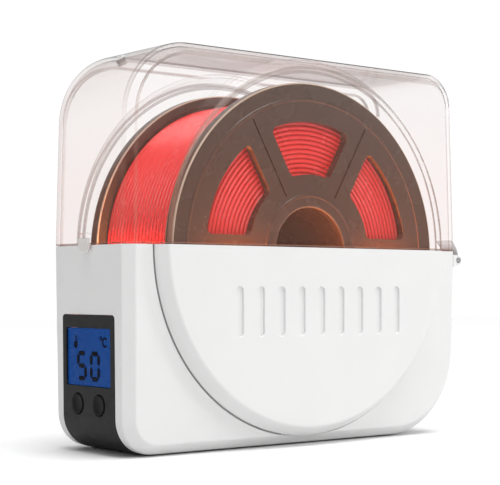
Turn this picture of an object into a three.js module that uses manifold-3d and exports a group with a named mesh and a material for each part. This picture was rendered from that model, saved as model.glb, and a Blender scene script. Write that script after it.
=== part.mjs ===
// Filament dryer box: a white lower housing and a clear hinged lid around a filament spool
// that turns on rollers. Millimetres. X runs along the box (panel at -X, hinge at +X), Y from
// front (-Y) to rear, Z up from the floor.
import * as THREE from "three";
import { mergeVertices } from "three/addons/utils/BufferGeometryUtils.js";
import Module from "manifold-3d";

const wasm = await Module();
wasm.setup();

// Driving dimensions
const LENGTH = 256; // box length at the seam
const DEPTH = 79.6; // box depth at the seam, without the discs
const SEAM = 115.9; // height of the seam
const TOP = 229.3; // height of the lid's top
const BOTTOM = 1.0; // height of the housing's underside above the floor
const DRAFT = 0.0155; // taper of every side wall, away from the seam
const EDGE = 5.6; // rounding of the long edges
const CORNERS = { topLeft: 44, topRight: 20, bottomLeft: 20, bottomRight: 52 };
const BASE_WALL = 2.2;
const LID_WALL = 2.2;
const DISC_Z = 116.3; // centre height of the raised discs
const DISC_R = 110.4; // disc radius where it meets the box
const DISC_FACE_R = 105.1; // disc radius at its flat face
const DISC_RISE = 6.9; // how far the discs stand proud
const GAP = 0.3; // clearance between neighbouring pieces

const PANEL_TOP = 76.8;
const PANEL_HALF = 26.6;
const PANEL_THICK = 2.6;
const PANEL_PROUD = 0.3;
const WINDOW = { z: 53.45, halfY: 22.4, halfZ: 15.95 };
const BUTTON = { z: 27.3, y: 10.9, r: 5.55 };

const SPOOL_Z = 112.8; // spool axis height
const SPOOL_R = 100;
const SPOOL_HALF = 41.8; // half the spool's width
const FLANGE_THICK = 5;
const RIM_THICK = 7.4; // thickness of the flange's rim bead, which runs on the rollers
const HUB_R = 26.5; // bore of the spool
const CORE_R = 36;
const WOUND_R = 92.3;
const WINDOWS = { spoke: 9.2, inner: 46, outer: 77, corner: 3.5 }; // openings in the flanges

const ROLLER_R = 8;
const ROLLER_ANGLE = 28; // degrees either side of straight down
const SHAFT_R = 2.5;
const DECK_R = 106; // inner radius of the tray under the spool
const DECK_THICK = 2;
const DECK_HALF = 34.5;

const HINGE = { x: 131.25, z: SEAM - 5.8, pinR: 1.5, hookR: 3.0, y: 27, width: 13 };
const LATCH = { halfY: 5, top: 3.4, bottom: -5.2, thick: 1.4, out: 3 };
const OUTLET_ANGLE = 34; // degrees from upright, on the lid's rounded corner

const MATERIALS = {
  white: [0xf2f2f0, 0.35, 0],
  clear: [0xf6e9e4, 0.08, 0],
  black: [0x262628, 0.45, 0],
  softBlack: [0x1c1c1e, 0.7, 0],
  pane: [0x1e4f98, 0.1, 0],
  module: [0x2a63b8, 0.4, 0],
  pcb: [0x1f6b3a, 0.5, 0],
  chip: [0x17171a, 0.4, 0],
  cream: [0xe9e4d2, 0.5, 0],
  steel: [0xb9bbbe, 0.3, 1],
  heatPlate: [0xc6c8ca, 0.4, 1],
  film: [0xb5651d, 0.4, 0],
  roller: [0x3a3a3c, 0.6, 0],
  spool: [0x6a5048, 0.35, 0],
  filament: [0xf23a3c, 0.35, 0],
  seal: [0x8f8d8b, 0.8, 0],
  lead: [0x2a2a2c, 0.6, 0],
};

const group = new THREE.Group();
group.name = "filament_dryer_box";

// ---- helpers ------------------------------------------------------------------------------------

function toSolid(geometry) {
  const g = geometry.index ? geometry.toNonIndexed() : geometry.clone();
  g.deleteAttribute("normal");
  g.deleteAttribute("uv");
  const merged = mergeVertices(g, 1e-4);
  const vertProperties = new Float32Array(merged.attributes.position.array);
  const triVerts = new Uint32Array(merged.index.array);
  const solid = new wasm.Manifold(new wasm.Mesh({ numProp: 3, vertProperties, triVerts }));
  if (solid.volume() > 0) return solid;
  // The profile ran the other way round: turn every face over.
  for (let i = 0; i < triVerts.length; i += 3) {
    const keep = triVerts[i];
    triVerts[i] = triVerts[i + 1];
    triVerts[i + 1] = keep;
  }
  return new wasm.Manifold(new wasm.Mesh({ numProp: 3, vertProperties, triVerts }));
}

function toGeometry(solid) {
  const mesh = solid.getMesh();
  const position = new Float32Array(mesh.numVert * 3);
  for (let i = 0; i < mesh.numVert; i++) {
    const start = i * mesh.numProp;
    position.set(mesh.vertProperties.subarray(start, start + 3), i * 3);
  }
  const g = new THREE.BufferGeometry();
  g.setAttribute("position", new THREE.BufferAttribute(position, 3));
  g.setIndex(new THREE.BufferAttribute(mesh.triVerts, 1));
  g.computeVertexNormals();
  return g;
}

function place(name, slot, solid) {
  const [color, roughness, metalness] = MATERIALS[slot];
  const material = new THREE.MeshStandardMaterial({ color, roughness, metalness });
  const mesh = new THREE.Mesh(toGeometry(solid), material);
  mesh.name = name;
  group.add(mesh);
}

function join(solids) {
  return solids.reduce((a, b) => a.add(b));
}

function cut(solid, tools) {
  return tools.reduce((a, b) => a.subtract(b), solid);
}

function moved(geometry, matrix) {
  return toSolid(geometry.clone().applyMatrix4(matrix));
}

function box(x0, x1, y0, y1, z0, z1) {
  const g = new THREE.BoxGeometry(x1 - x0, y1 - y0, z1 - z0);
  g.translate((x0 + x1) / 2, (y0 + y1) / 2, (z0 + z1) / 2);
  return toSolid(g);
}

// A turned piece about the line x = cx, z = cz along Y. The profile holds [radius, y] pairs.
function turned(profile, cx, cz, segments) {
  const points = profile.map(([r, y]) => new THREE.Vector2(r, y));
  const g = new THREE.LatheGeometry(points, segments);
  g.translate(cx, 0, cz);
  return toSolid(g);
}

// A turned piece about a vertical line through (cx, cy). The profile holds [radius, z] pairs.
function turnedUp(profile, cx, cy, segments) {
  const g = new THREE.LatheGeometry(profile.map(([r, z]) => new THREE.Vector2(r, z)), segments);
  g.rotateX(Math.PI / 2);
  g.translate(cx, cy, 0);
  return toSolid(g);
}

function rod(r, y0, y1, cx, cz, segments = 32) {
  return turned([[0, y0], [r, y0], [r, y1], [0, y1]], cx, cz, segments);
}

function ring(inner, outer, y0, y1, cx, cz, segments) {
  return turned([[inner, y0], [outer, y0], [outer, y1], [inner, y1], [inner, y0]], cx, cz, segments);
}

// A closed loop of [u, v] points (counter-clockwise) from corner points with rounding radii.
function roundedLoop(corners, steps) {
  const loop = [];
  corners.forEach(([x, z, r], i) => {
    const before = corners[(i + corners.length - 1) % corners.length];
    const after = corners[(i + 1) % corners.length];
    const a = new THREE.Vector2(before[0] - x, before[1] - z).normalize();
    const b = new THREE.Vector2(after[0] - x, after[1] - z).normalize();
    if (r <= 0) {
      loop.push([x, z]);
      return;
    }
    const half = Math.acos(THREE.MathUtils.clamp(a.dot(b), -1, 1)) / 2;
    const middle = a.clone().add(b).normalize();
    const centre = new THREE.Vector2(x, z).addScaledVector(middle, r / Math.sin(half));
    const from = new THREE.Vector2(x, z).addScaledVector(a, r / Math.tan(half)).sub(centre);
    const to = new THREE.Vector2(x, z).addScaledVector(b, r / Math.tan(half)).sub(centre);
    const start = from.angle();
    let sweep = to.angle() - start;
    if (sweep > Math.PI) sweep -= 2 * Math.PI;
    if (sweep < -Math.PI) sweep += 2 * Math.PI;
    const count = Math.max(2, Math.round((steps * Math.abs(sweep)) / (Math.PI / 2)));
    for (let k = 0; k <= count; k++) {
      const angle = start + (sweep * k) / count;
      loop.push([centre.x + r * Math.cos(angle), centre.y + r * Math.sin(angle)]);
    }
  });
  return loop;
}

// Corner points moved inwards by d (counter-clockwise loops), with their radii reduced alike.
function inset(corners, d) {
  const n = corners.length;
  const lines = corners.map(([x, z], i) => {
    const next = corners[(i + 1) % n];
    const dir = new THREE.Vector2(next[0] - x, next[1] - z).normalize();
    return { p: new THREE.Vector2(x - dir.y * d, z + dir.x * d), dir };
  });
  return corners.map(([, , r], i) => {
    const a = lines[(i + n - 1) % n];
    const b = lines[i];
    const cross = a.dir.x * b.dir.y - a.dir.y * b.dir.x;
    const t = ((b.p.x - a.p.x) * b.dir.y - (b.p.y - a.p.y) * b.dir.x) / cross;
    const radius = cross > 0 ? r - d : r + d;
    return [a.p.x + a.dir.x * t, a.p.y + a.dir.y * t, r > 0 ? Math.max(radius, 0.4) : 0];
  });
}

function shapeOf(loop) {
  return new THREE.Shape(loop.map(([u, v]) => new THREE.Vector2(u, v)));
}

// A loop in the XZ plane carried along Y from -half to +half.
function slab(loop, half, bevel = 0, bevelSteps = 2) {
  const g = new THREE.ExtrudeGeometry(shapeOf(loop), {
    depth: 2 * (half - bevel),
    bevelEnabled: bevel > 0,
    bevelSize: bevel,
    bevelThickness: bevel,
    bevelOffset: -bevel,
    bevelSegments: bevelSteps,
    curveSegments: 1,
  });
  g.translate(0, 0, bevel - half);
  g.rotateX(Math.PI / 2);
  return g;
}

// A loop in the XY plane carried up from z0 to z1.
function plate(loop, z0, z1, hole = null) {
  const shape = shapeOf(loop);
  if (hole) shape.holes.push(shapeOf(hole));
  const g = new THREE.ExtrudeGeometry(shape, {
    depth: z1 - z0,
    bevelEnabled: false,
    curveSegments: 1,
  });
  g.translate(0, 0, z0);
  return toSolid(g);
}

// A round lead along a smooth line through the given points.
function lead(points, r, steps) {
  const path = new THREE.CatmullRomCurve3(points.map((p) => new THREE.Vector3(...p)));
  const round = new THREE.Shape().absarc(0, 0, r, 0, 2 * Math.PI, false);
  const g = new THREE.ExtrudeGeometry(round, {
    extrudePath: path,
    steps,
    curveSegments: 4,
    bevelEnabled: false,
  });
  return toSolid(g);
}

// ---- housing shapes -----------------------------------------------------------------------------

function halfLength(z) {
  return LENGTH / 2 - DRAFT * Math.abs(z - SEAM);
}

function halfDepth(z) {
  return DEPTH / 2 - DRAFT * Math.abs(z - SEAM);
}

// One end of the box, past the seam by a margin, so that it can be trimmed at the seam.
function halfBody(upper, wall) {
  const past = upper ? -25 : 25;
  const zSeam = SEAM + past;
  const zEnd = upper ? TOP : BOTTOM;
  const farX = halfLength(zEnd);
  const nearX = LENGTH / 2 + DRAFT * 25;
  const corners = upper
    ? [
        [-nearX, zSeam, 0],
        [nearX, zSeam, 0],
        [farX, zEnd, CORNERS.topRight],
        [-farX, zEnd, CORNERS.topLeft],
      ]
    : [
        [-farX, zEnd, CORNERS.bottomLeft],
        [farX, zEnd, CORNERS.bottomRight],
        [nearX, zSeam, 0],
        [-nearX, zSeam, 0],
      ];
  const loop = roundedLoop(inset(corners, wall), 6);
  const half = DEPTH / 2;
  const g = slab(loop, half - wall, Math.max(EDGE - wall, 1.2));
  const position = g.attributes.position;
  for (let i = 0; i < position.count; i++) {
    const rise = upper ? position.getZ(i) - SEAM : SEAM - position.getZ(i);
    position.setY(i, position.getY(i) * (1 - (DRAFT * rise) / half));
  }
  return toSolid(g);
}

// A raised disc through the whole depth of the box, with a sloping side and a small bevel at
// each flat face.
function disc(wall) {
  const face = DEPTH / 2 + DISC_RISE - wall;
  const foot = DEPTH / 2 - wall;
  const r = DISC_FACE_R - wall;
  const footR = DISC_R - wall;
  const profile = [
    [0, -face],
    [r - 0.8, -face],
    [r + 0.5, -face + 0.8],
    [footR, -foot],
    [footR, foot],
    [r + 0.5, face - 0.8],
    [r - 0.8, face],
    [0, face],
  ];
  return turned(profile, 0, DISC_Z, 64);
}

function shell(upper, wall) {
  const z0 = upper ? SEAM + 0.2 : -5;
  const z1 = upper ? TOP + 5 : SEAM - 0.3;
  const keep = box(-200, 200, -80, 80, z0, z1);
  const outer = halfBody(upper, 0).add(disc(0));
  const inner = halfBody(upper, wall).add(disc(wall));
  return outer.subtract(inner).intersect(keep);
}

// Plan outline of the box at the seam, moved inwards by d.
function seamOutline(d, steps) {
  const x = LENGTH / 2;
  const y = DEPTH / 2;
  const face = y + DISC_RISE;
  const corners = [
    [-x, -y, EDGE],
    [-DISC_R, -y, 0],
    [-DISC_FACE_R, -face, 0],
    [DISC_FACE_R, -face, 0],
    [DISC_R, -y, 0],
    [x, -y, EDGE],
    [x, y, EDGE],
    [DISC_R, y, 0],
    [DISC_FACE_R, face, 0],
    [-DISC_FACE_R, face, 0],
    [-DISC_R, y, 0],
    [-x, y, EDGE],
  ];
  return roundedLoop(inset(corners, d), steps);
}

// ---- panel frame: u along Y, v up the drafted end wall, w into the box --------------------------

const panelOrigin = new THREE.Vector3(-halfLength(50), 0, 50);
const panelUp = new THREE.Vector3(-DRAFT, 0, 1).normalize();
const panelIn = new THREE.Vector3(1, 0, DRAFT).normalize();
const panelFrame = new THREE.Matrix4().makeBasis(new THREE.Vector3(0, -1, 0), panelUp, panelIn);
panelFrame.setPosition(panelOrigin);

function panelBox(u0, u1, v0, v1, w0, w1) {
  const g = new THREE.BoxGeometry(u1 - u0, v1 - v0, w1 - w0);
  g.translate((u0 + u1) / 2, (v0 + v1) / 2, (w0 + w1) / 2);
  return moved(g, panelFrame);
}

function panelTurned(profile, u, v, segments = 32) {
  const g = new THREE.LatheGeometry(profile.map(([r, w]) => new THREE.Vector2(r, w)), segments);
  g.rotateX(Math.PI / 2);
  g.translate(u, v, 0);
  return moved(g, panelFrame);
}

function panelRod(r, w0, w1, u, v, segments = 32) {
  return panelTurned([[0, w0], [r, w0], [r, w1], [0, w1]], u, v, segments);
}

const windowV = WINDOW.z - 50;
const buttonV = BUTTON.z - 50;

// ---- lower housing ------------------------------------------------------------------------------

const JACK = { x: -104, z: 30 };
const SCREWS = [[-66, -20], [-66, 20], [34, -20], [34, 20]];
const SENSOR = { x: -105.6, z: 84 };
const FEET = [[-80, -16], [-80, 16], [58, -18], [58, 18]];
const COVER_END = 70;
const COVER_THICK = 2.4;

function baseShell() {
  const rimOuter = seamOutline(0.85, 6);
  const rimInner = seamOutline(1.95, 6);
  const groove = plate(rimOuter, SEAM - 2.1, SEAM + 1, rimInner);
  const slot = PANEL_HALF + GAP;
  const catchNub = box(-LENGTH / 2 - 0.8, -LENGTH / 2 + 1.5, -3.5, 3.5, SEAM - 4.6, SEAM - 2.6);
  const body = shell(false, BASE_WALL).add(catchNub);
  const cheeks = [];
  for (const side of [-1, 1]) {
    for (const face of [-1, 1]) {
      const y = side * HINGE.y + face * (HINGE.width / 2 + GAP + 1.25);
      const x0 = LENGTH / 2 - 1.5;
      cheeks.push(box(x0, HINGE.x + 1.2, y - 1.25, y + 1.25, HINGE.z - 3.4, HINGE.z + 2.2));
      cheeks.push(rod(2.9, y - 1.25, y + 1.25, HINGE.x, HINGE.z, 16));
    }
  }
  return cut(join([body, ...cheeks]), [
    groove,
    box(-140, -100, -slot, slot, -5, PANEL_TOP + GAP),
    box(-110, COVER_END + GAP, -slot, slot, -5, BOTTOM + BASE_WALL + 1),
    rod(HINGE.pinR + GAP, -60, 60, HINGE.x, HINGE.z, 16),
    rod(6.2, 30, 50, JACK.x, JACK.z, 24),
  ]);
}

place("base_shell", "white", baseShell());

// Black panel: let into the left end, round the lower corner and a little way under the box.
function controlPanel() {
  const r = CORNERS.bottomLeft;
  const low = -halfLength(BOTTOM);
  const high = -halfLength(PANEL_TOP);
  const outerCorners = [
    [-88, PANEL_TOP, 0],
    [high - PANEL_PROUD, PANEL_TOP, 0],
    [low - PANEL_PROUD, BOTTOM - PANEL_PROUD, r + PANEL_PROUD],
    [-88, BOTTOM - PANEL_PROUD, 0],
  ];
  const outer = toSolid(slab(roundedLoop(outerCorners, 10), PANEL_HALF, 0.6, 1));
  const innerCorners = [
    [-60, 90, 0],
    [high + PANEL_THICK, 90, 0],
    [low + PANEL_THICK, BOTTOM + PANEL_THICK, r - PANEL_THICK],
    [-60, BOTTOM + PANEL_THICK, 0],
  ];
  const inner = toSolid(slab(roundedLoop(innerCorners, 10), 60));
  const posts = [];
  for (const u of [-24.4, 24.4]) {
    for (const v of [-16, 24]) posts.push(panelRod(1.5, PANEL_THICK - 0.6, 8.9, u, v, 16));
  }
  const frame = join([cut(outer, [inner, box(-100, -60, -40, 40, -5, 100)]), ...posts]);
  const through = PANEL_THICK + 0.5;
  const holes = [-1, 1].map((side) => panelRod(BUTTON.r + GAP, -2, through, side * BUTTON.y, buttonV));
  const u = WINDOW.halfY + GAP;
  const v = WINDOW.halfZ + GAP;
  holes.push(panelBox(-u, u, windowV - v, windowV + v, -2, through));
  return cut(frame, holes);
}

place("control_panel", "black", controlPanel());

// Flat cover under the box, with countersunk holes for its screws and sockets for the feet.
function bottomCover() {
  const corners = [
    [-99.7, -PANEL_HALF, 0],
    [COVER_END, -PANEL_HALF, 3],
    [COVER_END, PANEL_HALF, 3],
    [-99.7, PANEL_HALF, 0],
  ];
  const top = BOTTOM + COVER_THICK;
  const sunk = [[0, -1], [3.4, -1], [3.4, 2.2], [1.8, 2.2], [1.8, 9], [0, 9]];
  const screwHoles = SCREWS.map(([x, y]) => turnedUp(sunk, x, y, 12));
  const sockets = FEET.map(([x, y]) => turnedUp([[0, -1], [6.3, -1], [6.3, 2.1], [0, 2.1]], x, y, 20));
  return cut(plate(roundedLoop(corners, 4), BOTTOM, top), [...screwHoles, ...sockets]);
}

place("bottom_cover", "black", bottomCover());

SCREWS.forEach(([x, y], i) => {
  const body = turnedUp([[0, 1.2], [3, 1.2], [3, 1.9], [1.35, 1.9], [1.35, 10], [0, 10]], x, y, 12);
  const cross = [
    box(x - 1.9, x + 1.9, y - 0.35, y + 0.35, 0, 1.6),
    box(x - 0.35, x + 0.35, y - 1.9, y + 1.9, 0, 1.6),
  ];
  place(`cover_screw_${i + 1}`, "steel", cut(body, cross));
});

FEET.forEach(([x, y], i) => {
  const profile = [[0, 0], [5.2, 0], [6, 0.7], [6, 1.8], [0, 1.8]];
  place(`foot_${i + 1}`, "softBlack", turnedUp(profile, x, y, 20));
});

// ---- controls -----------------------------------------------------------------------------------

// Clear pane over the display, flush with the panel.
function displayPart(halfU, halfV, w0, w1) {
  return panelBox(-halfU, halfU, windowV - halfV, windowV + halfV, w0, w1);
}

place("display_pane", "pane", displayPart(WINDOW.halfY, WINDOW.halfZ, -0.1, 1.5));
place("display_module", "module", displayPart(22.2, 15.6, 1.9, 8.8));

[["button_front", 1], ["button_rear", -1]].forEach(([name, side]) => {
  const cap = [
    [0, -0.75],
    [BUTTON.r - 0.8, -0.75],
    [BUTTON.r, -0.2],
    [BUTTON.r, 2.9],
    [BUTTON.r + 1.1, 2.9],
    [BUTTON.r + 1.1, 3.8],
    [1.8, 3.8],
    [1.8, 5],
    [0, 5],
  ];
  place(name, "softBlack", panelTurned(cap, side * BUTTON.y, buttonV, 24));
});

place("control_board", "pcb", panelBox(-26, 26, -31, 27, 9.2, 10.8));
[["switch_front", 1], ["switch_rear", -1]].forEach(([name, side]) => {
  const u = side * BUTTON.y;
  const body = panelBox(u - 3, u + 3, buttonV - 3, buttonV + 3, 6.6, 8.9);
  place(name, "chip", body.add(panelRod(1.6, 5.8, 7, u, buttonV, 16)));
});
place("processor", "chip", panelBox(-6, 6, -8, 4, 11.1, 12.8));
place("terminal_block", "cream", panelBox(-17, 17, -26, -18, 11.1, 19));

// ---- DC inlet -----------------------------------------------------------------------------------

const rearFace = halfDepth(JACK.z);

function dcInlet() {
  const profile = [
    [3.1, rearFace + 1.6],
    [3.1, rearFace - 9],
    [0, rearFace - 9],
    [0, rearFace - 15],
    [5.9, rearFace - 15],
    [5.9, rearFace + 0.3],
    [8, rearFace + 0.3],
    [8, rearFace + 1.1],
    [7.5, rearFace + 1.6],
    [3.1, rearFace + 1.6],
  ];
  return turned(profile, JACK.x, JACK.z, 24);
}

place("dc_inlet", "black", cut(dcInlet(), [rod(1.25, 25, rearFace - 8, JACK.x, JACK.z, 16)]));
place("dc_inlet_pin", "steel", rod(0.95, rearFace - 12, rearFace - 0.6, JACK.x, JACK.z, 16));

// ---- tray, heater, rollers ----------------------------------------------------------------------

// Points of an arc in the XZ plane about the spool axis. Angles are in degrees from straight
// down, positive to +X.
function arcPoints(r, from, to, count) {
  const points = [];
  for (let i = 0; i <= count; i++) {
    const a = THREE.MathUtils.degToRad(from + ((to - from) * i) / count);
    points.push([r * Math.sin(a), SPOOL_Z - r * Math.cos(a)]);
  }
  return points;
}

function arcPlate(inner, outer, from, to, half, count) {
  const loop = [...arcPoints(outer, from, to, count), ...arcPoints(inner, to, from, count)];
  return toSolid(slab(loop, half));
}

function rollerSpot(side) {
  const a = THREE.MathUtils.degToRad(ROLLER_ANGLE);
  const r = SPOOL_R + ROLLER_R + GAP;
  return [side * r * Math.sin(a), SPOOL_Z - r * Math.cos(a)];
}

function spoolTray() {
  const plateBody = arcPlate(DECK_R, DECK_R + DECK_THICK, -70, 70, DECK_HALF, 20);
  const bosses = SCREWS.map(([x, y]) => {
    const reach = SPOOL_Z - Math.sqrt((DECK_R + 1) ** 2 - (Math.abs(x) - 3) ** 2);
    return turnedUp([[0, 3.9], [3.6, 3.9], [3.6, reach], [0, reach]], x, y, 12);
  });
  const lugs = [];
  const bores = [];
  const pockets = [];
  for (const side of [-1, 1]) {
    const [x, z] = rollerSpot(side);
    bores.push(rod(SHAFT_R + GAP, -50, 50, x, z, 16));
    for (const y of [-25.5, 25.5]) {
      lugs.push(box(x - 4.5, x + 4.5, y - 2.5, y + 2.5, 8.5, z));
      lugs.push(rod(4.5, y - 2.5, y + 2.5, x, z, 16));
    }
    for (const y of [-34, 34]) pockets.push(rod(ROLLER_R + 1.2, y - 5, y + 5, x, z, 20));
  }
  const holes = SCREWS.map(([x, y]) => turnedUp([[0, 0], [1.65, 0], [1.65, 11], [0, 11]], x, y, 12));
  const leadSlot = box(-32, -27.6, -3, 3, 4, 14);
  const sensorTab = box(SENSOR.x + 2, SENSOR.x + 4.5, -4, 4, 74, SENSOR.z + 3);
  const body = join([plateBody, ...bosses, ...lugs, sensorTab]);
  return cut(body, [...bores, ...pockets, ...holes, leadSlot]);
}

place("spool_tray", "black", spoolTray());
place("heater_plate", "heatPlate", arcPlate(103.9, 104.8, -19, 19, 34, 14));
place("heater_film", "film", arcPlate(105.1, 105.6, -15, 15, 30, 12));
place("side_plate_left", "heatPlate", arcPlate(104.7, 105.6, -66, -38, 34, 10));
place("side_plate_right", "heatPlate", arcPlate(104.7, 105.6, 38, 66, 34, 10));

[["left", -1], ["right", 1]].forEach(([side, sign]) => {
  const [x, z] = rollerSpot(sign);
  place(`roller_shaft_${side}`, "steel", rod(SHAFT_R, -35.7, 35.7, x, z, 40));
  [["front", -1], ["rear", 1]].forEach(([end, face]) => {
    const y0 = face > 0 ? 30 : -35.6;
    place(`roller_${side}_${end}`, "roller", ring(SHAFT_R + 0.08, ROLLER_R, y0, y0 + 5.6, x, z, 40));
  });
});

// ---- sensor and leads ---------------------------------------------------------------------------

place("temperature_sensor", "steel", rod(1.6, -6, 6, SENSOR.x, SENSOR.z, 16));

const LEADS = {
  sensor_lead: {
    r: 0.8,
    steps: 14,
    points: [
      [SENSOR.x, -6.8, SENSOR.z],
      [SENSOR.x - 0.2, -9.4, SENSOR.z - 2.6],
      [-106.2, -10.4, 76],
      [-107, -9, 62],
      [-105, -2, 42],
      [-103, 3, 31],
      [-107.3, 4, 28],
    ],
  },
  inlet_lead: {
    r: 1.4,
    steps: 12,
    points: [
      [-104, 23.1, 30],
      [-104, 18.5, 30],
      [-102.6, 14, 29],
      [-104.4, 12.4, 28],
      [-107.3, 12, 28],
    ],
  },
  heater_lead: {
    r: 1,
    steps: 22,
    points: [
      [-107.3, -8, 28],
      [-102, -8, 27.4],
      [-86, -8, 16],
      [-62, -8, 10],
      [-44, -4, 7.2],
      [-33, 0, 6.4],
      [-29.6, 0, 8],
      [-29.5, 0, 10.6],
    ],
  },
};

for (const [name, { points, r, steps }] of Object.entries(LEADS)) {
  place(name, "lead", lead(points, r, steps));
}

// ---- spool --------------------------------------------------------------------------------------

function flange(side) {
  const outer = side * SPOOL_HALF;
  const inner = side * (SPOOL_HALF - FLANGE_THICK);
  const rim = side * (SPOOL_HALF - RIM_THICK);
  const profile = [
    [HUB_R, inner],
    [WOUND_R + 1, inner],
    [WOUND_R + 1.8, rim],
    [SPOOL_R, rim],
    [SPOOL_R, outer],
    [HUB_R, outer],
    [HUB_R, inner],
  ];
  const windows = [];
  for (let k = 0; k < 6; k++) windows.push(toSolid(slab(windowLoop(k * 60 + 90), 60)));
  return cut(turned(profile, 0, SPOOL_Z, 60), windows);
}

// A flange window: two arcs joined by sides that run parallel to the spokes next to it, with
// rounded corners.
function windowLoop(centre) {
  const { spoke, inner, outer, corner } = WINDOWS;
  const middle = THREE.MathUtils.degToRad(centre);
  const points = [];
  const arc = (r, from, count) => {
    const reach = Math.PI / 6 - Math.asin(spoke / r);
    for (let i = 0; i <= count; i++) {
      const angle = middle + from * reach * (1 - (2 * i) / count);
      const rounded = i === 0 || i === count ? corner : 0;
      points.push([r * Math.cos(angle), SPOOL_Z + r * Math.sin(angle), rounded]);
    }
  };
  arc(outer, -1, 6);
  arc(inner, 1, 3);
  return roundedLoop(points, 2);
}

place("spool_flange_front", "spool", flange(-1));
place("spool_flange_rear", "spool", flange(1));
const coreHalf = SPOOL_HALF - FLANGE_THICK - GAP;
place("spool_core", "spool", ring(HUB_R, CORE_R - GAP, -coreHalf, coreHalf, 0, SPOOL_Z, 48));
place("filament_winding", "filament", ring(CORE_R, WOUND_R, -coreHalf, coreHalf, 0, SPOOL_Z, 60));

// ---- lid ----------------------------------------------------------------------------------------

// Frame of the filament outlet: its second axis points straight out of the rounded corner.
function outletFrame() {
  const r = CORNERS.topLeft;
  const a = THREE.MathUtils.degToRad(OUTLET_ANGLE);
  const out = new THREE.Vector3(-Math.sin(a), 0, Math.cos(a));
  const across = new THREE.Vector3(Math.cos(a), 0, Math.sin(a));
  const third = new THREE.Vector3().crossVectors(across, out);
  const frame = new THREE.Matrix4().makeBasis(across, out, third);
  frame.setPosition(out.x * r - halfLength(TOP) + r, 0, out.z * r + TOP - r);
  return frame;
}

function outletTurned(profile, segments) {
  const g = new THREE.LatheGeometry(profile.map(([r, h]) => new THREE.Vector2(r, h)), segments);
  return moved(g, outletFrame());
}

// A hook turning over the pin: an arm standing out of the end wall and a ring segment round the pin.
function hingeHook(y) {
  const { x, z, pinR, hookR, width } = HINGE;
  const wall = halfLength(SEAM);
  const arm = [
    [wall - 1.2, SEAM + 6],
    [wall - 1.2, SEAM + 2],
    [x - 0.4, SEAM + 0.6],
    [x + hookR - 1.1, z + 1],
    [x + hookR - 1.1, z],
    [x + hookR, z],
    [x + hookR, z + 1.2],
    [x + hookR - 0.2, SEAM - 0.4],
    [x + 1.4, SEAM + 2.6],
    [wall + 0.5, SEAM + 6],
  ];
  const g = slab(arm, width / 2);
  g.translate(0, y, 0);
  const eye = ring(pinR + GAP, hookR, y - width / 2, y + width / 2, x, z, 20);
  return toSolid(g).add(eye);
}

function lidShell() {
  const hooks = [-HINGE.y, HINGE.y].map((y) => hingeHook(y));
  const wall = -LENGTH / 2;
  const low = SEAM + LATCH.top + 0.2;
  const root = box(wall - LATCH.out, wall + 1.2, -LATCH.halfY, LATCH.halfY, low, low + 2.8);
  const hole = outletTurned([[0, -8], [2.7, -8], [2.7, 8], [0, 8]], 20);
  return join([shell(true, LID_WALL), ...hooks, root]).subtract(hole);
}

place("lid_shell", "clear", lidShell());

// The latch tongue: hangs from the lid over the catch on the lower housing.
function latchTongue() {
  const outer = -LENGTH / 2 - LATCH.out;
  const inner = outer + LATCH.thick;
  const loop = [
    [outer, SEAM + LATCH.top],
    [outer, SEAM + LATCH.bottom + 1.4],
    [outer + 0.5, SEAM + LATCH.bottom],
    [inner + 0.2, SEAM + LATCH.bottom],
    [inner + 0.5, SEAM + LATCH.bottom + 0.8],
    [inner, SEAM + LATCH.bottom + 1.6],
    [inner, SEAM + LATCH.top],
  ];
  const body = toSolid(slab(loop.reverse(), LATCH.halfY));
  const tip = LATCH.halfY;
  const round = moved(
    new THREE.CylinderGeometry(tip, tip, 12, 36).rotateZ(Math.PI / 2),
    new THREE.Matrix4().makeTranslation(outer, 0, SEAM + LATCH.bottom + tip),
  );
  const above = box(outer - 3, outer + 6, -8, 8, SEAM + LATCH.bottom + tip, SEAM + 10);
  return body.intersect(round.add(above));
}

place("latch_tongue", "clear", latchTongue());

const grommet = [
  [1.3, -3.6],
  [3.5, -3.6],
  [3.5, -2.7],
  [2.4, -2.7],
  [2.4, 0.3],
  [3.6, 0.3],
  [3.2, 0.9],
  [1.3, 0.9],
  [1.3, -3.6],
];
place("outlet_grommet", "seal", outletTurned(grommet, 20));

// ---- hinge pins and seam seal -------------------------------------------------------------------

[["hinge_pin_front", -1], ["hinge_pin_rear", 1]].forEach(([name, side]) => {
  const reach = HINGE.width / 2 + GAP + 2.5 + 0.8;
  const y = side * HINGE.y;
  place(name, "softBlack", rod(HINGE.pinR, y - reach, y + reach, HINGE.x, HINGE.z, 20));
});

place("seam_seal", "seal", plate(seamOutline(1.1, 6), SEAM - 1.9, SEAM - 0.1, seamOutline(1.7, 6)));

export default group;
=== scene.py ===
import math

import bmesh
import bpy
from mathutils import Matrix, Vector


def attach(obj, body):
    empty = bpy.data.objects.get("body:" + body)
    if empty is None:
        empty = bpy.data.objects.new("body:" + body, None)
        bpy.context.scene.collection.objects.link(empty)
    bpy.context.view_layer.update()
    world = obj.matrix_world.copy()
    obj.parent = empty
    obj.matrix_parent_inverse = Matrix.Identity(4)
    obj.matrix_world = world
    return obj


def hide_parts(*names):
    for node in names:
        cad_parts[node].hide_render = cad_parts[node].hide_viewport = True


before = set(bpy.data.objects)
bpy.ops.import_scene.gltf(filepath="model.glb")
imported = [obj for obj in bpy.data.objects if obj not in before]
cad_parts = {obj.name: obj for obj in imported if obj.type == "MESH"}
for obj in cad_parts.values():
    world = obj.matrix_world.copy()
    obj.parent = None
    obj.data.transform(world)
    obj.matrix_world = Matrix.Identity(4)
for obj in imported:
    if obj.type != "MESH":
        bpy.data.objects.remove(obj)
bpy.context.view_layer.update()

MM = 0.001

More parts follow.
